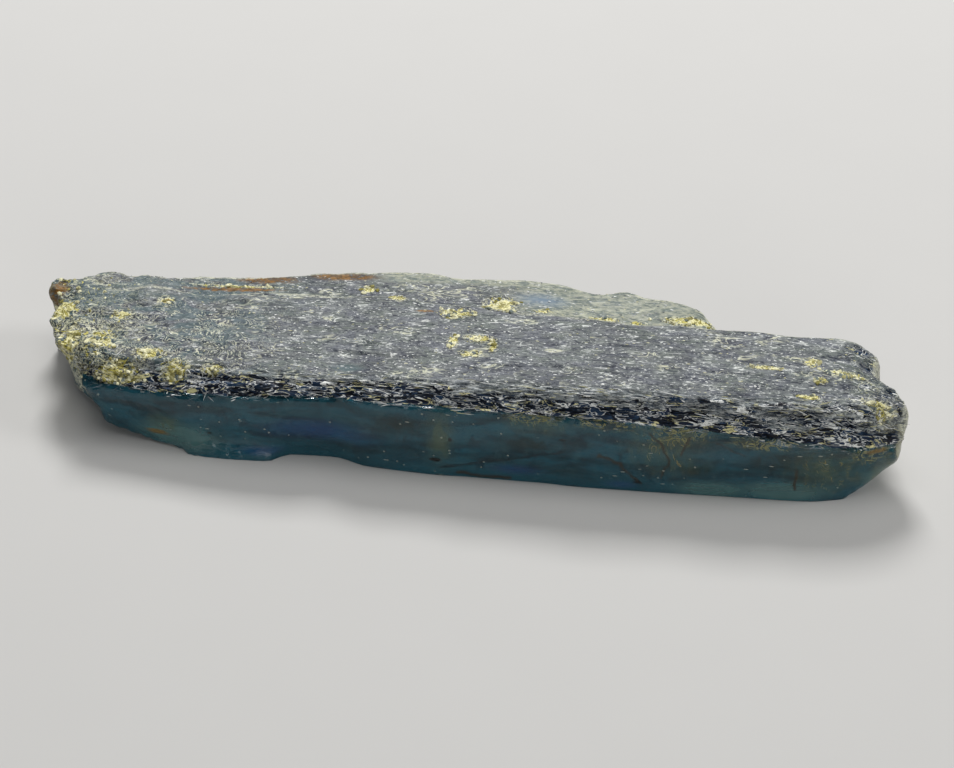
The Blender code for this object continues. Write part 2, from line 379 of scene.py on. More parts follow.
def rest_on_floor(piece):
    """Lifts any point that has been pushed under the floor back to it."""
    for vertex in piece.data.vertices:
        vertex.co.z = max(vertex.co.z, 0.0)


class Value:
    """A number or colour on its way through a material's nodes."""

    def __init__(self, nodes, socket):
        self.nodes = nodes
        self.socket = socket

    def math(self, operation, *others):
        return self.nodes.add("ShaderNodeMath", {"operation": operation}, dict(enumerate((self, *others))))

    def vector(self, operation, *others, output="Vector"):
        sockets = dict(enumerate((self, *others)))
        return self.nodes.add("ShaderNodeVectorMath", {"operation": operation}, sockets, output)

    def __add__(self, other):
        return self.math("ADD", other)

    def __mul__(self, other):
        return self.math("MULTIPLY", other)

    def __sub__(self, other):
        return self.math("SUBTRACT", other)

    def __rsub__(self, other):
        return self.nodes.add("ShaderNodeMath", {"operation": "SUBTRACT"}, {0: other, 1: self})

    __radd__ = __add__
    __rmul__ = __mul__

    def most(self, other):
        return self.math("MAXIMUM", other)

    def least(self, other):
        return self.math("MINIMUM", other)

    def step(self, low, high):
        """0 below low, 1 above high, and a smooth rise between."""
        settings = {"interpolation_type": "SMOOTHSTEP"}
        return self.nodes.add("ShaderNodeMapRange", settings, {0: self, 1: low, 2: high})


class Nodes:
    """Builds one material."""

    def __init__(self, name):
        self.material = bpy.data.materials.new(name)
        self.material.use_nodes = True
        self.tree = self.material.node_tree
        self.tree.nodes.clear()
        self.place = self.add("ShaderNodeTexCoord", output="Object")

    def add(self, kind, settings=None, sockets=None, output=0):
        """One node: its settings are set first, then its sockets, by name or number."""
        node = self.tree.nodes.new(kind)
        for name, value in (settings or {}).items():
            setattr(node, name, value)
        for name, value in (sockets or {}).items():
            if isinstance(value, Value):
                self.tree.links.new(value.socket, node.inputs[name])
            elif hasattr(value, "__len__") and len(value) == 3 and node.inputs[name].type == "RGBA":
                node.inputs[name].default_value = (*value, 1)
            else:
                node.inputs[name].default_value = value
        return Value(self, node.outputs[output])

    def mask(self, name):
        """A mask painted on the piece."""
        return self.add("ShaderNodeAttribute", {"attribute_name": name + "_mask"}, output="Fac")

    def scaled(self, origin, size):
        """The place, measured from an origin in millimetres in steps of this size."""
        moved = self.place.vector("SUBTRACT", [side * MM for side in origin])
        return moved.vector("DIVIDE", [side * MM for side in size])

    def cells(self, cell, shift):
        """The place in cells of this size in millimetres, moved by shift to give each texture its own."""
        return self.scaled((shift, shift * 1.7, shift * 2.3), cell)

    def grain(self, cell, detail=2.0, rough=0.5, bend=0.0, shift=0.0):
        """Noise whose cells have this size in millimetres, from 0 to 1."""
        sockets = {
            "Vector": self.cells(cell, shift), "Scale": 1.0, "Detail": detail, "Roughness": rough,
            "Distortion": bend,
        }
        return self.add("ShaderNodeTexNoise", {}, sockets)

    def chips(self, cell, shift, output="Distance"):
        """Cells with a point in each, of this size in millimetres."""
        return self.add("ShaderNodeTexVoronoi", {}, {"Vector": self.cells(cell, shift), "Scale": 1.0}, output)

    def mix(self, factor, low, high):
        """The colour low where factor is 0 and high where it is 1."""
        return self.add("ShaderNodeMix", {"data_type": "RGBA"}, {0: factor, 6: low, 7: high}, output=2)

    def crack(self, wander, at=0.5, width=0.06):
        """1 in thin winding lines where a noise passes this value."""
        return 1 - (wander - at).math("ABSOLUTE").step(0.0, width)

    def spots(self, spots):
        """1 in the middle of any of several egg shapes, falling to 0 at their edges."""
        ranges = [self.scaled(at, size).vector("LENGTH", output="Value") for at, size in spots]
        nearest = ranges[0]
        for other in ranges[1:]:
            nearest = nearest.least(other)
        return 1 - nearest.step(0.0, 1.0)

    def stroke(self, start, end, width, sway):
        """1 on a swaying line between two places of the front face, given as x and z in millimetres."""
        flat = self.place.vector("MULTIPLY", (1 / MM, 0, 1 / MM)).vector("ADD", sway)
        start, end = Vector((start[0], 0, start[1])), Vector((end[0], 0, end[1]))
        run = end - start
        offset = flat.vector("SUBTRACT", start)
        share = offset.vector("DOT_PRODUCT", run / run.length_squared, output="Value").most(0.0).least(1.0)
        on_line = self.add("ShaderNodeCombineXYZ", {}, {0: share * run.x, 1: 0.0, 2: share * run.z})
        away = offset.vector("SUBTRACT", on_line).vector("LENGTH", output="Value")
        return 1 - away.step(width * 0.3, width)

    def principled(self, **sockets):
        """A Principled shader, whose sockets are named with _ for each space."""
        named = {name.replace("_", " "): value for name, value in sockets.items()}
        return self.add("ShaderNodeBsdfPrincipled", {}, named)

    def finish(self, surface, volume=None):
        sockets = {"Surface": surface} if volume is None else {"Surface": surface, "Volume": volume}
        output = self.tree.nodes.new("ShaderNodeOutputMaterial")
        for name, value in sockets.items():
            self.tree.links.new(value.socket, output.inputs[name])
        return self.material


# Crust on the upper face, in millimetres: where each patch is, and how far it reaches.
YELLOW_SPOTS = (
    ((-17.05, -4.4, 5), (1.3, 1.1, 2)),
    ((-18.85, -3.3, 5), (1.5, 0.9, 2)),
    ((-20.55, -4.6, 4.2), (2.2, 1.2, 1.6)),
    ((-22.15, -2.3, 5), (1.6, 1.6, 2)),
    ((-24.15, -2.4, 4.4), (1.6, 2.2, 2.4)),
    ((-24.05, -4.2, 2.6), (1.3, 1.6, 1.6)),
    ((-25.15, 0.6, 4.4), (1.3, 1.6, 2.4)),
    ((-21.35, 0.3, 5), (1.0, 0.7, 2)),
    ((-18.95, 1.9, 5), (0.8, 0.8, 2)),
    ((-15.25, 4.3, 5), (4.6, 0.24, 2)),
    ((-14.75, -4.2, 5), (1.2, 0.6, 2)),
    ((-6.55, 4.3, 5.3), (0.8, 0.5, 2)),
    ((-4.65, 3.4, 5.5), (0.9, 0.5, 2)),
    ((-0.85, 2.1, 5.7), (1.6, 0.8, 2)),
    ((1.75, 3.3, 5.7), (1.6, 1.3, 2)),
    ((-0.65, -0.8, 5.6), (0.5, 1.0, 2)),
    ((0.55, -1.7, 5.6), (1.1, 0.5, 2)),
    ((0.85, -0.2, 5.6), (1.3, 0.5, 2)),
    ((1.85, -0.9, 5.6), (0.4, 1.0, 2)),
    ((4.5, 3.0, 5.6), (1.0, 0.35, 2)),
    ((8.3, 2.9, 5.6), (1.2, 0.4, 2)),
    ((10.4, 2.7, 5.6), (0.8, 0.35, 2)),
    ((13.45, 3.3, 5.6), (2.6, 0.7, 2)),
    ((18.25, -1.5, 6.4), (1.6, 0.35, 2)),
    ((20.95, -0.6, 6.4), (0.8, 0.7, 2)),
    ((22.95, -1.4, 6.3), (1.9, 0.45, 2)),
    ((21.55, -2.3, 6.4), (0.6, 0.4, 2)),
    ((20.85, -3.8, 6.4), (1.2, 0.4, 2)),
    ((24.85, -3.6, 5.6), (1.5, 0.6, 2)),
)
SMOOTH_SPOTS = (
    ((-22.3, 2.4, 5), (3.0, 1.1, 2)),
    ((-16.6, 2.7, 5), (2.4, 0.8, 2)),
    ((-6.7, -3.5, 5), (1.5, 0.6, 2)),
)
BLUE_SPOTS = (
    ((4.3, 4.2, 5.6), (2.4, 1.0, 2)),
)
RUST_SPOTS = (
    ((-26.15, 3.0, 3.9), (1.0, 0.9, 1.2)),
    ((-18.95, 1.9, 5), (0.4, 0.35, 2)),
    ((-13.25, 5.2, 4.6), (2.6, 0.7, 2)),
    ((-8.35, 5.7, 4.8), (2.8, 0.6, 2)),
    ((-15.25, 3.95, 5), (4.4, 0.28, 2)),
    ((-2.75, 2.2, 5.6), (0.8, 0.18, 2)),
    ((13.25, 2.6, 5.6), (2.4, 0.25, 2)),
)


def spot_share(spots, x, y, z):
    """How strong the strongest of several soft spots is at a place in millimetres, from 0 to 1."""
    place = Vector((x, y, z))
    share = 0.0
    for at, size in spots:
        away = Vector([(p - q) / s for p, q, s in zip(place, at, size)]).length
        share = max(share, ease(1.4 * (1 - away)))
    return share


def silvery_colour(nodes, colours, grit):
    """Opened cleavage without its stains: fine grit, thin dark lines and bright flecks on blue-grey, with
    painted shade in sunken places, painted highlights and glints on flecks and raised lips, and painted light
    over the torn zone.
    """
    tangled, relief = nodes.mask("tangled"), nodes.mask("relief")
    silver = colours.silver
    tone = nodes.grain((6, 1.8, 1.8), 3.0)
    base = nodes.mix(tone.step(0.3, 0.7), [c * 0.8 for c in silver], [c * 1.25 for c in silver])
    hue = nodes.grain((1.8, 0.8, 0.8), 2.0, 0.6, 0.0, 17.0)
    base = nodes.mix(hue.step(0.52, 0.62) * 0.4, base, (0.110, 0.140, 0.105))
    base = nodes.mix((1 - hue.step(0.38, 0.48)) * 0.35, base, (0.105, 0.112, 0.165))
    # Painted light: the skin of the torn zone is lightened to make up for the shade it gets where it bends
    # down to the front, away from the key lamp.
    base = nodes.mix(nodes.mask("torn") * 0.8, base, [c * 2.2 for c in silver])
    patch = nodes.grain((2.6, 1.3, 1.3), 2.0, 0.5, 0.8, 11.0).step(0.46, 0.56)
    smooth = (patch * tangled).most(nodes.spots(SMOOTH_SPOTS) * 1.6).least(1.0)
    base = nodes.mix(smooth * 0.85, base, (0.080, 0.125, 0.138))
    rough = 1 - smooth * 0.75

    rows = nodes.grain((1.7, 0.34, 0.34), 2.0, 0.6, 0.5, 3.0)
    breaks = nodes.grain((0.9, 0.7, 0.7), 1.0, 0.5, 0.0, 5.0)
    curls = nodes.grain((1.5, 1.2, 1.2), 2.0, 0.5, 1.4, 9.0)
    dark = (1 - grit.step(0.37, 0.45)) * 0.8
    dark = dark.most(nodes.crack(rows, 0.5, 0.055) * breaks.step(0.47, 0.54) * 0.95)
    # Painted shade: points sunk below their surroundings are darkened towards the groove colour.
    dark = dark.most((relief * -1.0).step(0.55, 1.0) * 0.5)
    base = nodes.mix(dark * rough, base, colours.groove)
    # The bright flecks are partly pale plate edges and partly painted glints.
    bright = grit.step(0.63, 0.68) * 0.95
    bright = bright.most(nodes.crack(rows, 0.59, 0.028) * (1 - breaks.step(0.44, 0.5)) * 0.9)
    # Painted highlight: points raised over their surroundings are lightened towards the fleck colour.
    bright = bright.most(relief.step(0.6, 1.0) * 0.3)
    base = nodes.mix(bright * rough, base, colours.fleck_and_glint)

    fan = curls.math("PINGPONG", 0.045) * (1 / 0.045)
    tufts = nodes.mask("fanned").most(nodes.mask("worn") * 0.4) * breaks.step(0.4, 0.48)
    base = nodes.mix((1 - fan.step(0.12, 0.3)) * tufts * 0.9, base, colours.groove)
    veins = nodes.crack(nodes.grain((1.6, 0.7, 0.7), 2.5, 0.6, 0.9, 15.0), 0.5, 0.035)
    patchy = nodes.grain((3.4, 1.3, 1.3), 2.0, 0.5, 0.0, 13.0).step(0.54, 0.63)
    return nodes.mix((fan.step(0.76, 0.92) * tufts).most(veins * patchy) * 0.85, base, (0.74, 0.74, 0.55))


def torn_colour(nodes, colours, grit):
    """The torn edge: navy crystal, partly its own deep colour and partly painted shade under the overhanging
    plates, between black gaps that are painted shadow lines, with white curls and chips.
    """
    chip = nodes.chips((0.75, 0.3, 0.3), 9.0, "Color")
    tint = nodes.add("ShaderNodeSeparateColor", {}, {"Color": chip}, output="Red")
    shade = nodes.add("ShaderNodeSeparateColor", {}, {"Color": chip}, output="Green")
    curls = nodes.grain((1.3, 0.36, 0.36), 2.0, 0.65, 0.9, 19.0)
    # The navy is partly the crystal's own deep colour, partly painted shade under the overhanging plates.
    navy = nodes.mix(tint, (0.006, 0.010, 0.028), (0.018, 0.050, 0.105))
    # Painted shadow: black lines under the overhanging plates.
    navy = nodes.mix(nodes.crack(curls, 0.43, 0.09), navy, (0.001, 0.001, 0.002))
    bright = nodes.crack(curls, 0.53, 0.035).most(tint.step(0.9, 0.92) * grit.step(0.42, 0.48))
    pale = nodes.mix(shade.step(0.72, 0.8), (0.86, 0.87, 0.83), (0.74, 0.69, 0.36))
    return nodes.mix(bright, navy, pale)


def skin_colour(nodes, colours, grit):
    """The opened cleavage with the rear's pale green, the torn edge, iron stains, and a painted rim highlight
    along its side and rear edges.
    """
    ledge, gap, broken = nodes.mask("ledge"), nodes.mask("gap"), nodes.mask("broken")
    base = silvery_colour(nodes, colours, grit)
    pale = nodes.grain((0.6, 0.24, 0.24), 3.0, 0.7, 0.4, 2.0)
    pale_skin = nodes.mix(pale.step(0.36, 0.64), (0.13, 0.17, 0.15), (0.50, 0.51, 0.38))
    base = nodes.mix(ledge * 0.7, base, pale_skin)
    base = nodes.mix(nodes.spots(BLUE_SPOTS) * 0.8, base, (0.13, 0.20, 0.29))
    deep = nodes.grain((2.2, 0.5, 0.5), 3.0, 0.65, 0.6, 5.0)
    torn = gap.most(nodes.mask("worn") * 0.4).most(nodes.mask("chipped") * 0.55)
    torn = torn.step(0.02, 0.1) * (torn + (deep - 0.5) * 2.6 + (grit - 0.5) * 0.6).step(0.46, 0.52)
    base = nodes.mix(torn, base, torn_colour(nodes, colours, grit))

    crumbs = nodes.grain((0.5, 0.42, 0.42), 2.0, 0.6, 1.2, 7.0)
    yellow = (broken * 0.32).most(nodes.spots(YELLOW_SPOTS))
    crusty = broken.most(yellow.step(0.05, 0.25))
    # Dark lines and cream lines on the crust, here and in the ochre below: partly its own colour, partly
    # painted shade in the gaps between its lumps and painted highlights on their tops.
    base = nodes.mix(nodes.crack(crumbs, 0.56, 0.06) * crusty * 0.9, base, (0.012, 0.014, 0.012))
    base = nodes.mix(nodes.crack(crumbs, 0.47, 0.045) * crusty * 0.9, base, (0.78, 0.76, 0.50))
    ochre = nodes.mix(crumbs.step(0.4, 0.55), [c * 0.5 for c in colours.stain], colours.stain)
    ochre = nodes.mix(nodes.crack(crumbs, 0.5, 0.06), ochre, (0.90, 0.86, 0.52))
    ochre = nodes.mix(nodes.crack(crumbs, 0.6, 0.05) * 0.9, ochre, (0.02, 0.02, 0.012))
    base = nodes.mix((yellow + (crumbs - 0.5) * 2.0).step(0.5, 0.6) * yellow.step(0.0, 0.1), base, ochre)
    rust = nodes.spots(RUST_SPOTS)
    rusty = nodes.mix(crumbs.step(0.45, 0.6), [c * 0.4 for c in colours.rust], colours.rust)
    base = nodes.mix((rust * 2.2 * crumbs.step(0.34, 0.46)).least(1.0) * 0.9, base, rusty)
    # Painted rim highlight: the side and rear edges are lightened towards a pale colour.
    rim = nodes.mask("rim") * (1 - broken * 0.7) * (0.35 + 0.5 * pale.step(0.42, 0.54))
    return nodes.mix(rim * grit.step(0.36, 0.5), base, (0.64, 0.64, 0.50))


# Marks inside the clear face, in millimetres: lines, each as two ends at x and z and a width, and soft
# patches, each as a middle and how far it reaches.
DARK_SCAR = ((-0.65, 0.6), (6.55, 2.5), 0.13)
BROWN_CRACKS = (
    ((8.95, 2.6), (10.25, 1.9), 0.16),
    ((10.25, 1.9), (11.45, 0.6), 0.13),
    ((11.85, 4.4), (13.05, 2.6), 0.12),
    ((13.05, 2.6), (12.65, 1.2), 0.09),
    ((14.25, 4.3), (13.75, 3.0), 0.10),
    ((15.75, 3.9), (17.45, 3.2), 0.11),
    ((20.75, 2.6), (20.55, 0.9), 0.12),
    ((0.45, 0.35), (3.65, 0.25), 0.16),
)
DARK_SPOTS = (
    ((-0.95, -6.0, 1.2), (0.55, 1.5, 0.22)),
    ((-0.05, -6.0, 2.8), (0.16, 1.5, 0.2)),
    ((11.25, -6.0, 0.7), (0.35, 1.5, 0.14)),
    ((-14.75, -6.0, 1.6), (0.14, 1.5, 0.1)),
    ((6.65, -6.0, 3.4), (0.3, 1.5, 0.1)),
)
# Painted glow: brighter blue patches, where light coming through the crystal is painted into the body's
# colour.
BLUE_GLOWS = (
    ((10.25, -6.0, 0.45), (1.5, 1.5, 0.4)),
    ((-11.65, -6.0, 0.6), (2.0, 1.5, 0.5)),
    ((-8.15, -6.0, 2.2), (5.0, 1.5, 1.2)),
    ((3.85, -6.0, 0.9), (2.4, 1.5, 0.6)),
)
GREEN_VEILS = (
    ((-0.65, -6.0, 2.6), (1.3, 1.5, 3.4)),
    ((5.15, -6.0, 4.4), (2.6, 1.5, 1.1)),
    ((12.85, -6.0, 3.2), (3.4, 1.5, 2.6)),
    ((22.75, -6.0, 2.4), (3.6, 2.5, 2.6)),
    ((25.75, -3.4, 1.8), (1.9, 3.4, 2.6)),
    ((-17.55, -6.0, 1.8), (1.6, 1.5, 1.2)),
)
FRINGES = (
    ((4.85, -6.0, 4.8), (2.2, 1.5, 0.6)),
    ((9.25, -6.0, 4.8), (3.0, 1.5, 0.7)),
    ((13.65, -6.0, 4.5), (2.8, 1.5, 1.0)),
    ((18.65, -6.0, 4.1), (3.2, 1.5, 0.6)),
    ((24.85, -5.0, 3.4), (1.6, 2.0, 1.2)),
)
DEEP_PATCHES = (
    ((19.65, -6.0, 2.9), (3.4, 1.8, 1.2)),
    ((14.85, -6.0, 1.9), (1.8, 1.5, 0.8)),
    ((-3.15, -6.0, 3.4), (2.6, 1.5, 1.0)),
    ((4.85, -6.0, 3.0), (3.4, 1.5, 0.8)),
)
# Painted glow: lighter patches at the foot, where light coming through the crystal is painted into the body's
# colour.
PAINTED_FOOT_GLOWS = (
    ((15.65, -6.0, 0.5), (3.4, 1.5, 0.9)),
    ((19.85, -6.0, 0.7), (3.8, 1.8, 1.1)),
    ((25.35, -3.6, 1.2), (1.8, 3.0, 1.8)),
    ((-16.75, -6.0, 1.0), (4.0, 1.8, 1.4)),
)
ORANGE_SPOTS = (
    ((-18.15, -6.0, 1.0), (1.0, 1.2, 0.28)),
    ((25.15, -5.0, 3.6), (0.9, 1.4, 0.22)),
)


def clear_body_colour(nodes, colours):
    """The milky body behind the clear face: layers, veils, painted glows, cracks, pinprick inclusions and a
    painted rim highlight.
    """
    veil = colours.veil
    wander = nodes.grain((1.6, 1.6, 1.2), 2.0, 0.6, 0.5, 21.0)
    sway = (wander - 0.5) * 0.9
    sway = nodes.add("ShaderNodeCombineXYZ", {}, {0: sway, 1: 0.0, 2: sway})
    clouds = nodes.grain((5, 2.0, 1.1), 6.0, 0.65, 0.8)
    layers = nodes.grain((9, 3.0, 0.22), 3.0, 0.6, 0.2, 4.0)
    base = nodes.mix(clouds.step(0.32, 0.68), [c * 0.35 for c in veil], [c * 1.35 for c in veil])
    base = nodes.mix(layers.step(0.52, 0.62) * 0.45, base, (0.012, 0.105, 0.138))
    silk = nodes.grain((0.5, 0.5, 0.8), 3.0, 0.7, 1.0, 27.0)
    base = nodes.mix(silk.step(0.53, 0.64) * 0.4, base, (0.05, 0.15, 0.17))
    base = nodes.mix((1 - silk.step(0.34, 0.46)) * 0.6, base, (0.003, 0.02, 0.036))
    # Painted glow: the body is lighter towards the foot, and in the patches below, where light coming through
    # the crystal is painted into its colour.
    height = nodes.add("ShaderNodeSeparateXYZ", {}, {0: nodes.place}, output="Z")
    foot_glow = 1 - (height * (1 / MM) + (wander - 0.5) * 1.2).step(0.2, 1.3)
    base = nodes.mix(foot_glow * 0.5, base, (0.02, 0.13, 0.18))
    pale = (nodes.spots(PAINTED_FOOT_GLOWS) * 1.6).least(1.0)
    base = nodes.mix(pale * 0.8, base, (0.11, 0.24, 0.235))
    base = nodes.mix(nodes.spots(BLUE_GLOWS) * 0.7, base, (0.025, 0.09, 0.26))
    fibres = nodes.grain((0.7, 0.7, 1.3), 3.0, 0.6, 1.4, 8.0)
    deep = nodes.spots(DEEP_PATCHES) * (0.5 + fibres.step(0.4, 0.6))
    base = nodes.mix(deep.least(1.0) * 0.8, base, (0.006, 0.026, 0.024))
    green = nodes.spots(GREEN_VEILS) * (0.45 + 0.75 * fibres.step(0.42, 0.6))
    base = nodes.mix(green.least(1.0) * 0.75, base, (0.115, 0.160, 0.095))

    arcs = nodes.grain((2.4, 2.4, 3.2), 1.5, 0.5, 1.2, 18.0)
    threads = (arcs.math("PINGPONG", 0.03) * (1 / 0.03)).step(0.8, 0.95) * fibres.step(0.46, 0.56)
    golden = (threads * nodes.spots(GREEN_VEILS[1:5]) * 1.3).least(1.0)
    base = nodes.mix(golden * 0.8, base, (0.30, 0.25, 0.11))
    mesh = nodes.grain((0.9, 0.9, 0.5), 2.0, 0.6, 1.6, 23.0)
    fringe = (nodes.spots(FRINGES) * 1.6).least(1.0)
    base = nodes.mix(fringe * fibres.step(0.48, 0.6) * 0.5, base, (0.13, 0.13, 0.045))
    base = nodes.mix(fringe * nodes.crack(mesh, 0.5, 0.06) * 0.8, base, (0.40, 0.38, 0.16))
    base = nodes.mix((nodes.spots(ORANGE_SPOTS) * 1.8).least(1.0) * 0.85, base, (0.26, 0.15, 0.012))
    scar = nodes.stroke(*DARK_SCAR, sway)
    base = nodes.mix(scar * 0.7, base, (0.004, 0.012, 0.018))
    cracks = nodes.stroke(*BROWN_CRACKS[0], sway)
    for crack in BROWN_CRACKS[1:]:
        cracks = cracks.most(nodes.stroke(*crack, sway))
    base = nodes.mix(cracks * 0.85, base, (0.05, 0.032, 0.012))
    base = nodes.mix((nodes.spots(DARK_SPOTS) * 3.0).least(1.0), base, (0.006, 0.006, 0.005))
    pricks = 1 - nodes.chips((0.75, 0.75, 0.6), 6.0).step(0.05, 0.13)
    dashes = 1 - nodes.chips((1.6, 1.2, 0.42), 16.0).step(0.05, 0.12)
    chosen = nodes.grain((2.6, 2.6, 1.6), 1.0, 0.5, 0.0, 31.0).step(0.44, 0.54)
    base = nodes.mix(pricks.most(dashes) * chosen * 0.8, base, (0.42, 0.46, 0.40))
    # Painted rim highlight: the clear face's side edges are lightened towards a pale colour.
    rim = nodes.mask("rim")
    base = nodes.mix(rim * 0.6, base, (0.20, 0.20, 0.13))
    return nodes.mix(rim.step(0.75, 1.0) * 0.7, base, (0.52, 0.52, 0.38))


def kyanite_material(colours):
    """Clear crystal under a silvery skin, with a milky body inside it."""
    nodes = Nodes("kyanite")
    front, under = nodes.mask("front"), nodes.mask("under")
    ragged = nodes.grain((0.9, 0.25, 0.25), 3.0, 0.6, 0.5)
    skin = 1 - (front.most(under) + (ragged - 0.5) * 0.9).step(0.42, 0.58)

    grit = nodes.grain((0.25, 0.1, 0.1), 2.0, 0.75, 0.4)
    bumps = nodes.add("ShaderNodeBump", {}, {"Strength": 0.7, "Distance": 0.03 * MM, "Height": grit})
    cleavage = nodes.principled(
        Base_Color=skin_colour(nodes, colours, grit), Roughness=0.62 - 0.3 * grit, Normal=bumps, IOR=1.6,
        Specular_IOR_Level=0.15,
    )
    clear_rough = 0.08 + 0.14 * nodes.grain((4, 0.8, 0.5), 2.0)
    lamellae = nodes.grain((7, 2.0, 0.16), 3.0, 0.6, 0.2, 12.0)
    facets = nodes.add("ShaderNodeBump", {}, {"Strength": 0.35, "Distance": 0.03 * MM, "Height": lamellae})
    glass = nodes.principled(
        Base_Color=(0.80, 0.93, 0.97), Roughness=clear_rough, Normal=facets, IOR=1.6, Transmission_Weight=1.0,
    )
    body = nodes.principled(
        Base_Color=clear_body_colour(nodes, colours), Roughness=clear_rough, Normal=facets, IOR=1.6,
        Specular_IOR_Level=0.3,
    )
    clouds = nodes.grain((5, 1.5, 1.0), 3.0, 0.6, 1.0)
    crystal = nodes.add("ShaderNodeMixShader", {}, {0: 0.5 + 0.4 * clouds, 1: glass, 2: body})
    surface = nodes.add("ShaderNodeMixShader", {}, {0: skin, 1: crystal, 2: cleavage})
    depth = nodes.add("ShaderNodeVolumeAbsorption", {}, {
        "Color": tuple(colours.depth_tint), "Density": colours.depth_density,
    })
    return nodes.finish(surface, depth)


def sliver_material():
    """Silky slivers of torn crystal, from slate to white, and a few stained yellow."""
    nodes = Nodes("sliver")
    tone = nodes.mask("tone")
    colour = nodes.mix(tone.step(0.4, 1.05), (0.07, 0.09, 0.11), (0.90, 0.91, 0.87))
    colour = nodes.mix((1 - tone.step(0.08, 0.1)) * 0.85, colour, (0.64, 0.61, 0.34))
    return nodes.finish(nodes.principled(Base_Color=colour, Roughness=0.4, IOR=1.6, Specular_IOR_Level=0.3))


def crust_material(colours):
    """Crumbs of iron-stained host rock, from cream to ochre, and some of them grey."""
    nodes = Nodes("crust")
    tone = nodes.mask("tone")
    speckle = nodes.grain((0.2, 0.2, 0.2), 2.0, 0.6)
    colour = nodes.mix(tone.step(0.25, 0.95), [c * 0.45 for c in colours.stain], (0.92, 0.89, 0.60))
    colour = nodes.mix((1 - tone.step(0.24, 0.28)) * 0.9, colour, (0.16, 0.20, 0.21))
    colour = nodes.mix((1 - speckle.step(0.36, 0.44)) * 0.7, colour, (0.05, 0.045, 0.02))
    return nodes.finish(nodes.principled(Base_Color=colour, Roughness=0.75, IOR=1.5, Specular_IOR_Level=0.2))


class KYANITE_OT_blade(bpy.types.Operator):
    """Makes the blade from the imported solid, carves its surface and gives it its material"""

    bl_idname = "kyanite.blade"
    bl_label = "Blade"

    def execute(self, context):
        relief = context.scene.kyanite_relief
        blade = copy_of_solid("kyanite_blade")
        smooth_cage(blade)
        divide(blade)
        paint_masks(blade)
        before, normals = places_of(blade)
        hard = {"noise_type": "HARD_NOISE", "noise_depth": 2, "noise_scale": 1.0}
        soft = {"noise_depth": 2, "noise_scale": 1.0}
        cell = soft | {"noise_basis": "VORONOI_F1"}
        carve(blade, "plates", (6.5, 0.9, 0.9), relief.plates, "upper", cell, 5)
        carve(blade, "thin_plates", (2.2, 0.42, 0.42), relief.plates * 0.5, "upper", soft, 4)
        carve(blade, "striation", (3.5, 0.3, 0.3), relief.striation, "upper", soft)
        carve(blade, "slanted", (1.2, 0.3, 0.3), relief.plates, "tangled", soft, 4, math.radians(38))
        carve(blade, "tears", (2.4, 0.3, 0.3), relief.tears, "torn", hard)
        carve(blade, "torn_plates", (3.2, 0.6, 0.5), relief.tears, "torn", soft, 5)
        carve(blade, "crust", (0.8, 0.6, 0.6), relief.crust, "broken", hard)
        carve(blade, "worn", (1.2, 0.5, 0.5), relief.crust * 0.5, "worn", hard)
        paint_relief(blade, before, normals)
        rest_on_floor(blade)
        only(blade)
        bpy.ops.object.shade_smooth_by_angle(angle=math.radians(35))
        dress(blade, kyanite_material(context.scene.kyanite_colours))
        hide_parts(NODE)
        return {"FINISHED"}


def shaped_sliver(name, tip, lean):
    """A thin four-sided sliver along X, one unit long, rooted at 0 and torn to a point at its tip."""
    bpy.ops.object.select_all(action="DESELECT")
    bpy.ops.mesh.primitive_cone_add(
        vertices=4, radius1=0.34, radius2=0.5, depth=0.55, location=(0.2, 0, 0), rotation=(0, math.pi / 2, 0),
    )
    sliver = bpy.context.object
    sliver.name = name
    bpy.ops.object.transform_apply()
    bpy.ops.object.mode_set(mode="EDIT")
    bpy.ops.mesh.select_mode(type="FACE")
    bpy.ops.mesh.select_all(action="DESELECT")
    bpy.ops.object.mode_set(mode="OBJECT")
    end = max(sliver.data.polygons, key=lambda face: face.center.x)
    end.select = True
    bpy.ops.object.mode_set(mode="EDIT")
    bpy.ops.mesh.extrude_region_move(TRANSFORM_OT_translate={"value": (0.55, lean, 0.1)})
    bpy.ops.transform.resize(value=(1, tip, tip), center_override=(1.0, lean, 0.1))
    bpy.ops.object.mode_set(mode="OBJECT")
    return sliver


def shaped_flake(name, seed):
    """A thin plate of cleaved crystal with an uneven outline, one unit long, over the place it lies on."""
    bpy.ops.object.select_all(action="DESELECT")
    bpy.ops.mesh.primitive_circle_add(vertices=6, radius=0.5, fill_type="NGON", location=(0, 0, 0.25))
    flake = bpy.context.object
    flake.name = name
    bpy.ops.object.transform_apply()
    bpy.ops.object.mode_set(mode="EDIT")
    bpy.ops.mesh.select_all(action="SELECT")
    bpy.ops.transform.vertex_random(offset=0.16, seed=seed, wait_for_input=False)
    bpy.ops.transform.resize(value=(1, 1, 0.2), center_override=(0, 0, 0.25))
    bpy.ops.mesh.extrude_region_move(TRANSFORM_OT_translate={"value": (0, 0, -0.8)})
    bpy.ops.mesh.select_all(action="SELECT")
    bpy.ops.mesh.normals_make_consistent(inside=False)
    bpy.ops.object.mode_set(mode="OBJECT")
    return flake


def shaped_grain(name, seed):
    """A rough crumb, one unit across."""
    bpy.ops.object.select_all(action="DESELECT")
    bpy.ops.mesh.primitive_ico_sphere_add(subdivisions=1, radius=0.5)
    grain = bpy.context.object
    grain.name = name
    bpy.ops.object.mode_set(mode="EDIT")
    bpy.ops.mesh.select_all(action="SELECT")
    bpy.ops.transform.vertex_random(offset=0.16, seed=seed, wait_for_input=False)
    bpy.ops.object.mode_set(mode="OBJECT")
    return grain


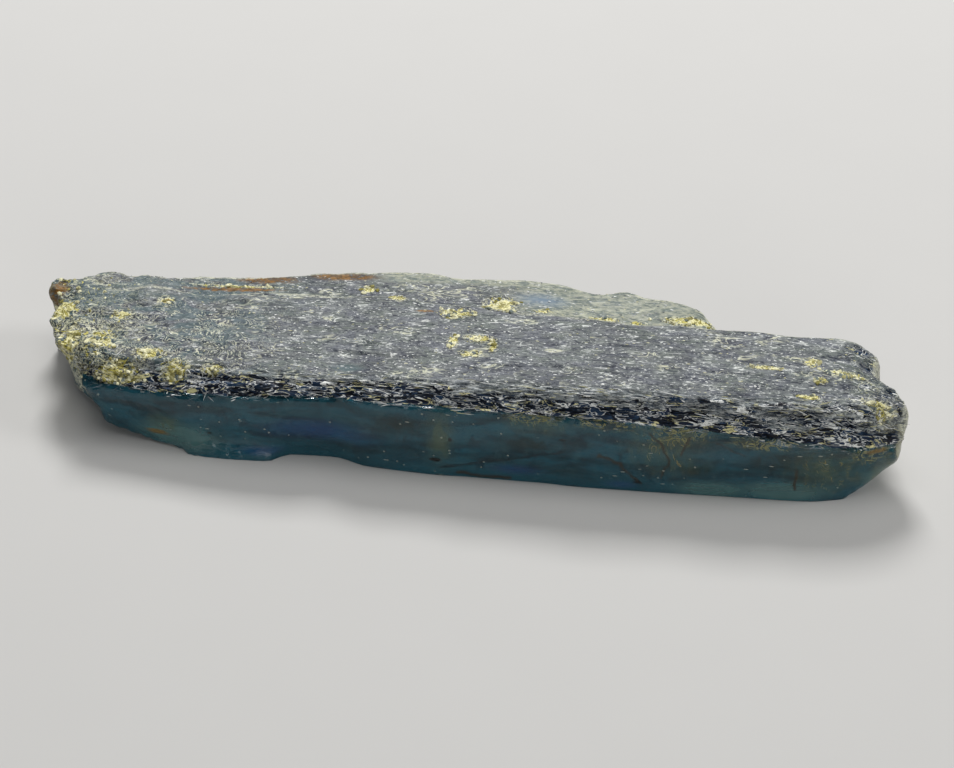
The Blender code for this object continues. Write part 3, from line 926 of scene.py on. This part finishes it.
def lay(point, normal, turn, tilt, size):
    """The matrix that lays a shape on a surface, turned from the grain, with its tip lifted by tilt."""
    forward = (Vector((1, 0, 0)) - normal * normal.x).normalized()
    basis = Matrix((forward, normal.cross(forward), normal)).transposed().to_4x4()
    turned = Matrix.Rotation(turn, 4, "Z") @ Matrix.Rotation(-tilt, 4, "Y")
    return Matrix.Translation(point) @ basis @ turned @ Matrix.Diagonal((*size, 1))


def pick_faces(piece, weigh, count, rng):
    """Random faces of a piece, more of them where weigh gives more for a face's middle and normal."""
    faces = list(piece.data.polygons)
    weights = [weigh(face.center / MM, face.normal) * face.area for face in faces]
    return rng.choices(faces, weights, k=count)


def scatter(name, shapes, matrices, rng):
    """One piece made of copies of the shapes, one at each matrix, each with its own tone."""
    copies = []
    for matrix in matrices:
        copy = rng.choice(shapes).copy()
        copy.data = copy.data.copy()
        copy.data.transform(matrix)
        bpy.context.scene.collection.objects.link(copy)
        copies.append(copy)
    only(*copies)
    bpy.ops.object.join()
    piece = bpy.context.object
    piece.name = piece.data.name = name
    tones = [rng.random() for _ in matrices]
    paint(piece, "tone", np.repeat(tones, len(piece.data.vertices) // len(tones)))
    for shape in shapes:
        bpy.data.objects.remove(shape)
    return piece


def steadied(normal, pull):
    """A face's normal, drawn towards straight up by this much."""
    return (normal + Vector((0, 0, pull))).normalized()


class KYANITE_OT_splinters(bpy.types.Operator):
    """Lays the loose splinters along the torn front edge"""

    bl_idname = "kyanite.splinters"
    bl_label = "Splinters"

    def execute(self, context):
        blade = bpy.data.objects["kyanite_blade"]
        rng = random.Random(11)
        shapes = [shaped_sliver(f"sliver_{i}", tip, lean) for i, (tip, lean) in enumerate(
            ((0.1, 0.25), (0.25, -0.3), (0.15, 0.0)))]

        def weigh(place, normal):
            masks = masks_at(*place, normal)
            inner = ease((0.5 - abs(normal.x)) / 0.3)
            return masks["torn"] * (1 - 0.9 * masks["gap"]) * inner * (0.3 + max(normal.z, 0))

        matrices = []
        for face in pick_faces(blade, weigh, context.scene.kyanite_scatter.splinters, rng):
            x = face.center.x / MM
            wild = 0.14 + 0.5 * ease((-8 - x) / 6) + 0.25 * ease((x - 17) / 4)
            turn = rng.gauss(0, wild) + rng.choice((0, math.pi))
            length = rng.uniform(0.25, 0.95) * (1 - 0.45 * min(1, wild)) * MM
            size = (length, rng.uniform(0.03, 0.07) * MM, rng.uniform(0.02, 0.05) * MM)
            matrices.append(lay(face.center, steadied(face.normal, 0.6), turn, rng.uniform(-0.04, 0.1), size))
        splinters = scatter("kyanite_splinters", shapes, matrices, rng)
        dress(splinters, sliver_material())
        return {"FINISHED"}


class KYANITE_OT_flakes(bpy.types.Operator):
    """Lays thin cleavage flakes on the upper face"""

    bl_idname = "kyanite.flakes"
    bl_label = "Flakes"

    def execute(self, context):
        blade = bpy.data.objects["kyanite_blade"]
        rng = random.Random(23)
        shapes = [shaped_flake(f"flake_{seed}", seed) for seed in range(4)]

        def weigh(place, normal):
            masks = masks_at(*place, normal)
            clump = 0.5 + 0.5 * noise.noise(Vector((place.x / 3, place.y / 1.2, 7)))
            bare = (1 - 0.5 * masks["tangled"]) * (1 - 0.9 * spot_share(YELLOW_SPOTS + RUST_SPOTS, *place))
            return masks["upper"] * (0.25 + clump) * bare * max(normal.z, 0)

        matrices = []
        for face in pick_faces(blade, weigh, context.scene.kyanite_scatter.flakes, rng):
            wild = 0.12 + 0.8 * ease((-9 - face.center.x / MM) / 7)
            turn = rng.gauss(0, wild)
            size = (rng.uniform(0.08, 0.27) * MM, rng.uniform(0.03, 0.07) * MM, rng.uniform(0.02, 0.04) * MM)
            matrices.append(lay(face.center, steadied(face.normal, 1.0), turn, rng.gauss(0, 0.1), size))
        flakes = scatter("kyanite_flakes", shapes, matrices, rng)
        dress(flakes, sliver_material())
        return {"FINISHED"}


class KYANITE_OT_crust(bpy.types.Operator):
    """Sets the grains of iron-stained crust on the broken end and in patches on the upper face"""

    bl_idname = "kyanite.crust"
    bl_label = "Crust"

    def execute(self, context):
        blade = bpy.data.objects["kyanite_blade"]
        rng = random.Random(37)
        shapes = [shaped_grain(f"grain_{seed}", seed) for seed in range(4)]

        def weigh(place, normal):
            if normal.z < -0.3 or place.z < 0.6 or place.x < -26.4:
                return 0.0
            crumbs = noise.noise(place * 1.6) + 0.5 * noise.noise(place * 3.7)
            masks = masks_at(*place, normal)
            share = max(spot_share(YELLOW_SPOTS, *place), 0.16 * masks["broken"])
            bare = (1 - masks["front"]) * (1 - 0.9 * spot_share(RUST_SPOTS, *place))
            return share * bare * max(0.0, crumbs - 0.02)

        matrices = []
        for face in pick_faces(blade, weigh, context.scene.kyanite_scatter.grains, rng):
            width = (0.06 + 0.26 * rng.random() ** 2) * MM
            size = (width * rng.uniform(1.0, 1.8), width, width * rng.uniform(0.5, 0.9))
            matrices.append(lay(face.center, steadied(face.normal, 0.3), rng.uniform(0, math.tau), 0, size))
        crust = scatter("kyanite_crust", shapes, matrices, rng)
        dress(crust, crust_material(context.scene.kyanite_colours))
        return {"FINISHED"}


# The lamps: where each hangs and its size, in metres, and its power, in watts.
LAMPS = {
    "key": ((-0.04, 0.25, 0.26), 0.10, 1.0),
    "top": ((0.02, 0.02, 0.40), 0.30, 0.5),
    "front": ((0.10, -0.34, 0.10), 0.20, 0.25),
    "side": ((0.40, 0.06, 0.26), 0.12, 0.55),
}


def hang_lamp(name, place, size, power, target):
    """A soft square lamp that points at the target."""
    bpy.ops.object.light_add(type="AREA", location=place)
    lamp = bpy.context.object
    lamp.name = name
    lamp.rotation_euler = (target - Vector(place)).to_track_quat("-Z", "Y").to_euler()
    lamp.data.size = size
    lamp.data.energy = power


class KYANITE_OT_stage(bpy.types.Operator):
    """Lays the pale floor, hangs the soft lamps and sets the camera"""

    bl_idname = "kyanite.stage"
    bl_label = "Stage"

    def execute(self, context):
        stage = context.scene.kyanite_stage
        bpy.ops.object.select_all(action="DESELECT")
        bpy.ops.mesh.primitive_plane_add(size=4.0, location=(0, 0, -0.00002))
        floor = context.object
        floor.name = "floor"
        paper = Nodes("floor")
        fibre = paper.grain((6, 6, 6), 2.0)
        shade = paper.mix(fibre, [c * 0.98 for c in stage.floor_colour], stage.floor_colour)
        floor.data.materials.append(paper.finish(paper.principled(Base_Color=shade, Roughness=0.9, IOR=1.3)))

        target = Vector(stage.target)
        away = Vector((
            math.sin(stage.azimuth) * math.cos(stage.elevation),
            -math.cos(stage.azimuth) * math.cos(stage.elevation),
            math.sin(stage.elevation),
        ))
        bpy.ops.object.camera_add(location=target + away * stage.distance)
        camera = context.object
        camera.rotation_euler = away.to_track_quat("Z", "Y").to_euler()
        camera.data.lens = 100
        camera.data.sensor_width = 36
        camera.data.clip_start = 0.001
        context.scene.camera = camera

        for name, (place, size, power) in LAMPS.items():
            hang_lamp(name, place, size, power, target)
        context.scene.view_settings.view_transform = "Standard"
        world = bpy.data.worlds.new("studio")
        world.use_nodes = True
        world.node_tree.nodes["Background"].inputs["Color"].default_value = (0.9, 0.95, 1.0, 1)
        world.node_tree.nodes["Background"].inputs["Strength"].default_value = 0.1
        context.scene.world = world
        return {"FINISHED"}


class KYANITE_PT_panel(bpy.types.Panel):
    """The crystal's pieces and settings"""

    bl_idname = "KYANITE_PT_panel"
    bl_label = "Kyanite Crystal"
    bl_space_type = "VIEW_3D"
    bl_region_type = "UI"
    bl_category = "Kyanite"

    def draw(self, context):
        layout = self.layout
        for operator in OPERATORS:
            layout.operator(operator.bl_idname)
        for name in SETTINGS:
            group = getattr(context.scene, name)
            box = layout.box()
            for setting in group.__annotations__:
                box.prop(group, setting)


SETTINGS = {
    "kyanite_relief": KyaniteRelief, "kyanite_scatter": KyaniteScatter, "kyanite_colours": KyaniteColours,
    "kyanite_stage": KyaniteStage,
}
OPERATORS = (KYANITE_OT_blade, KYANITE_OT_splinters, KYANITE_OT_flakes, KYANITE_OT_crust, KYANITE_OT_stage)
CLASSES = (*SETTINGS.values(), *OPERATORS, KYANITE_PT_panel)


def register():
    for each in CLASSES:
        bpy.utils.register_class(each)
    for name, group in SETTINGS.items():
        setattr(bpy.types.Scene, name, bpy.props.PointerProperty(type=group))


def unregister():
    for name in SETTINGS:
        delattr(bpy.types.Scene, name)
    for each in reversed(CLASSES):
        bpy.utils.unregister_class(each)


def main():
    """Builds the crystal and its stage."""
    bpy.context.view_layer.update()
    register()
    bpy.ops.kyanite.blade()
    bpy.ops.kyanite.splinters()
    bpy.ops.kyanite.flakes()
    bpy.ops.kyanite.crust()
    bpy.ops.kyanite.stage()


if __name__ == "__main__":
    main()
